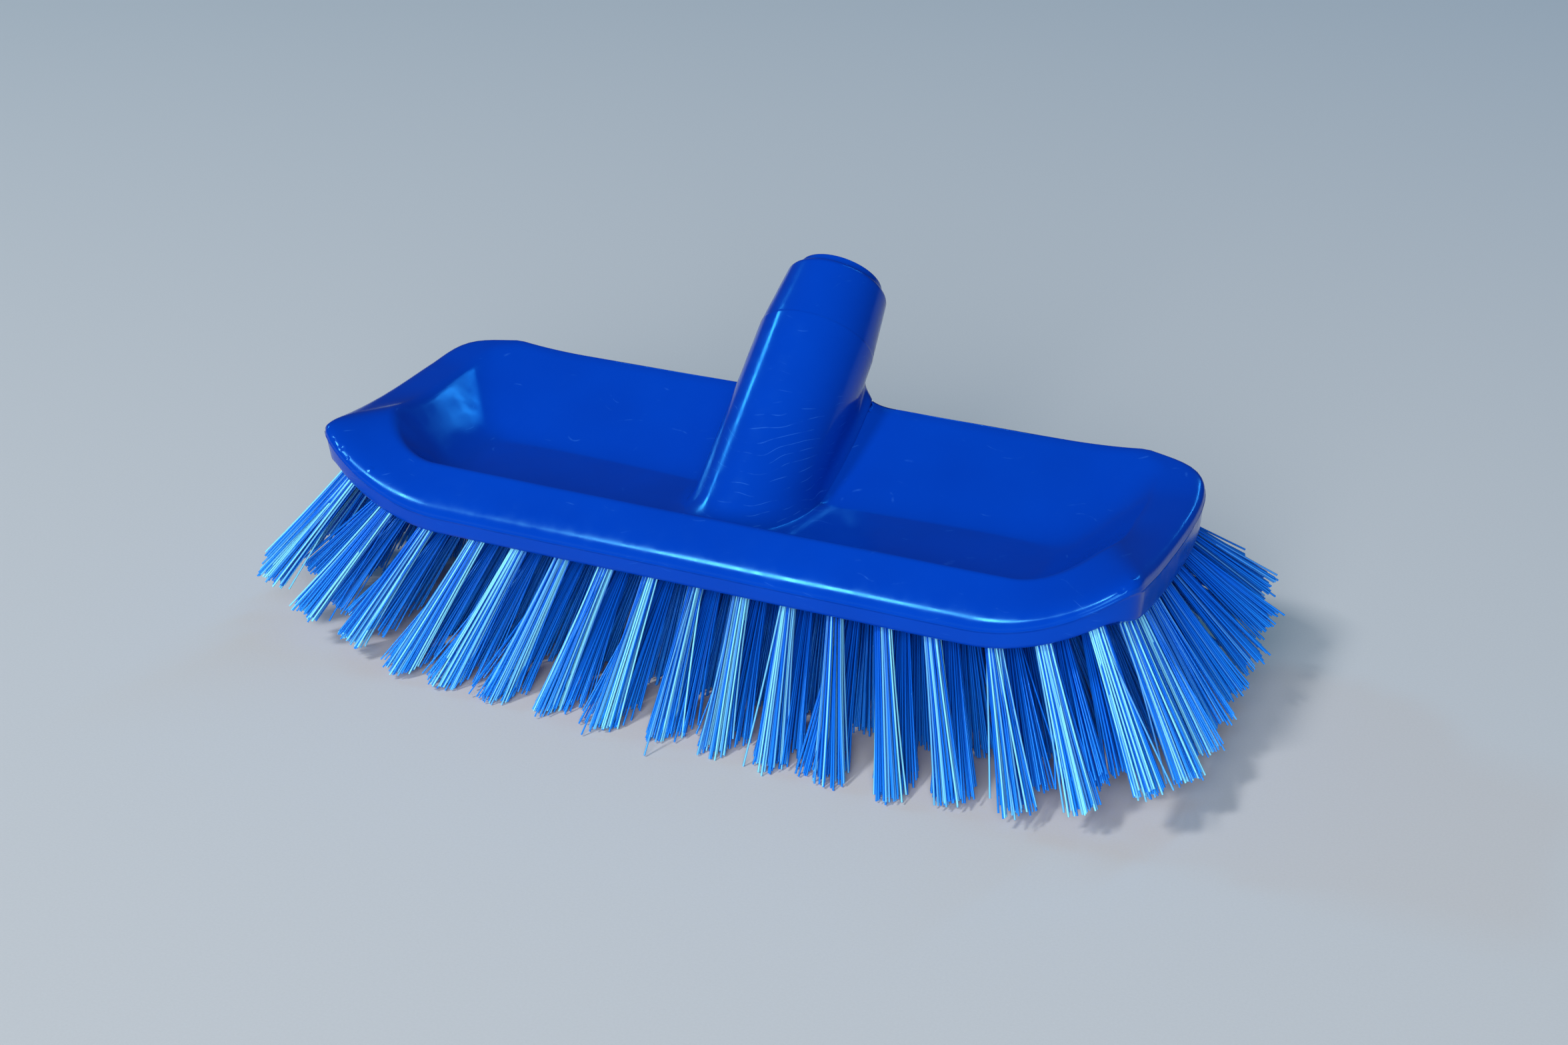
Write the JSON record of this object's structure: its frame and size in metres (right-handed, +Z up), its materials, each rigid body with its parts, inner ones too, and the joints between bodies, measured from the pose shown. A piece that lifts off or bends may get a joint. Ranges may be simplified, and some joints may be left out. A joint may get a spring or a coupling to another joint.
{
  "type": "floor scrub brush",
  "caption": "Floor scrub brush head: moulded plastic block with a dished top, raised ends and a slanted handle socket, over rows of flared stiff bristle tufts.",
  "frame": {"origin": "on the floor, under the middle of the whole brush head", "axes": "+X along the length of the block, +Y towards the handle, +Z up from the floor"},
  "size_m": [0.318, 0.1376, 0.111],
  "materials": {
    "block_plastic": "satin moulded polypropylene, saturated blue",
    "bristle_plastic": "glossy extruded filaments, brighter blue than the block",
    "staple_steel": "bare flat wire"
  },
  "bodies": {
    "root": {"brush_block": "block_plastic", "front_bristles": "bristle_plastic", "back_bristles": "bristle_plastic", "left_end_bristles": "bristle_plastic", "right_end_bristles": "bristle_plastic", "tuft_staple_01": "staple_steel", "tuft_staple_02": "staple_steel", "tuft_staple_03": "staple_steel", "tuft_staple_04": "staple_steel", "tuft_staple_05": "staple_steel", "tuft_staple_06": "staple_steel", "tuft_staple_07": "staple_steel", "tuft_staple_08": "staple_steel", "tuft_staple_09": "staple_steel", "tuft_staple_10": "staple_steel", "tuft_staple_11": "staple_steel", "tuft_staple_12": "staple_steel", "tuft_staple_13": "staple_steel", "tuft_staple_14": "staple_steel", "tuft_staple_15": "staple_steel", "tuft_staple_16": "staple_steel", "tuft_staple_17": "staple_steel", "tuft_staple_18": "staple_steel", "tuft_staple_19": "staple_steel", "tuft_staple_20": "staple_steel", "tuft_staple_21": "staple_steel", "tuft_staple_22": "staple_steel", "tuft_staple_23": "staple_steel", "tuft_staple_24": "staple_steel", "tuft_staple_25": "staple_steel", "tuft_staple_26": "staple_steel", "tuft_staple_27": "staple_steel", "tuft_staple_28": "staple_steel", "tuft_staple_29": "staple_steel", "tuft_staple_30": "staple_steel", "tuft_staple_31": "staple_steel", "tuft_staple_32": "staple_steel", "tuft_staple_33": "staple_steel", "tuft_staple_34": "staple_steel", "tuft_staple_35": "staple_steel", "tuft_staple_36": "staple_steel", "tuft_staple_37": "staple_steel", "tuft_staple_38": "staple_steel", "tuft_staple_39": "staple_steel", "tuft_staple_40": "staple_steel", "tuft_staple_41": "staple_steel", "tuft_staple_42": "staple_steel", "tuft_staple_43": "staple_steel", "tuft_staple_44": "staple_steel", "tuft_staple_45": "staple_steel", "tuft_staple_46": "staple_steel", "tuft_staple_47": "staple_steel", "tuft_staple_48": "staple_steel"}
  },
  "joints": []
}
